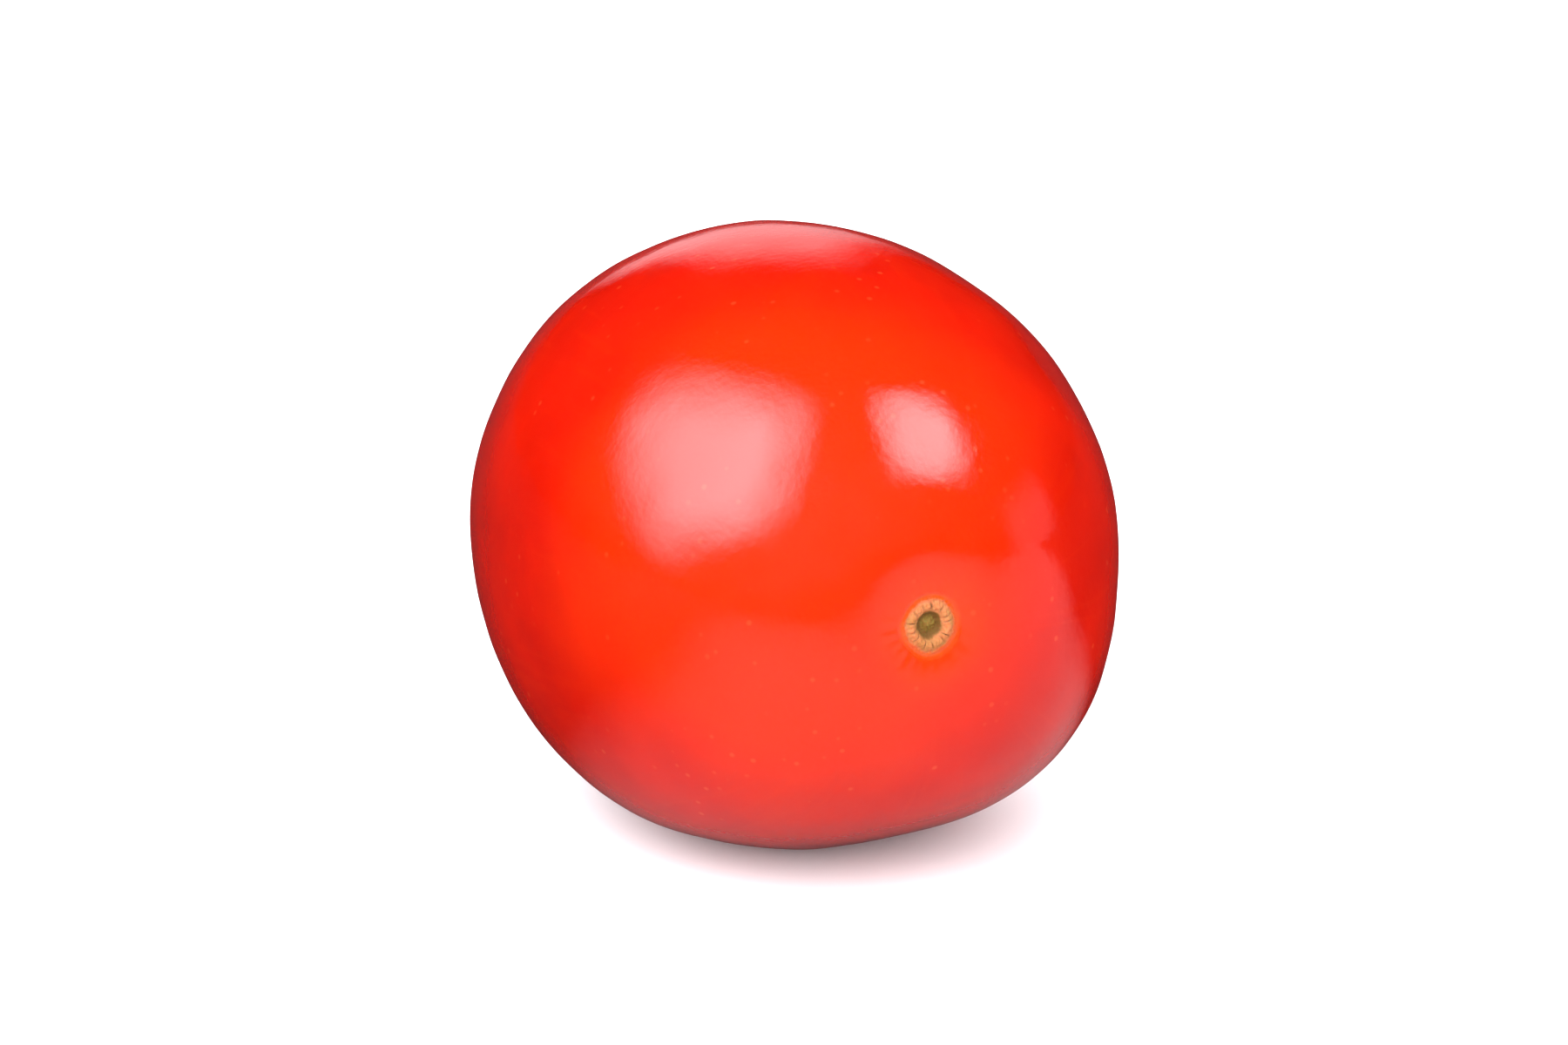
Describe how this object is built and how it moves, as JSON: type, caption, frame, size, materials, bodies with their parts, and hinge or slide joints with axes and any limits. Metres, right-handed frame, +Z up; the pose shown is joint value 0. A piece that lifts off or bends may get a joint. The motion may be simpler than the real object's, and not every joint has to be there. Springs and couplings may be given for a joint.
{
  "type": "cherry tomato",
  "caption": "Small plum-shaped cherry tomato, as picked, lying on its side with its stem scar facing forward; a free-standing fruit to rest on a surface or in a bowl.",
  "frame": {"origin": "on the surface that the fruit rests on, under the middle of its bounding box", "axes": "+Z up; the fruit's own axis lies along Y, level to within 3 degrees, with the blossom tip at +Y and the stem scar at -Y; X is across the fruit"},
  "size_m": [0.0262, 0.0336, 0.0256],
  "materials": {
    "tomato_skin": "thin, taut, glossy ripe red skin, a little more orange around the stem scar; the scar itself is dull pale tan cork around a dark olive-brown middle"
  },
  "bodies": {
    "root": {"tomato": "tomato_skin"}
  },
  "joints": []
}
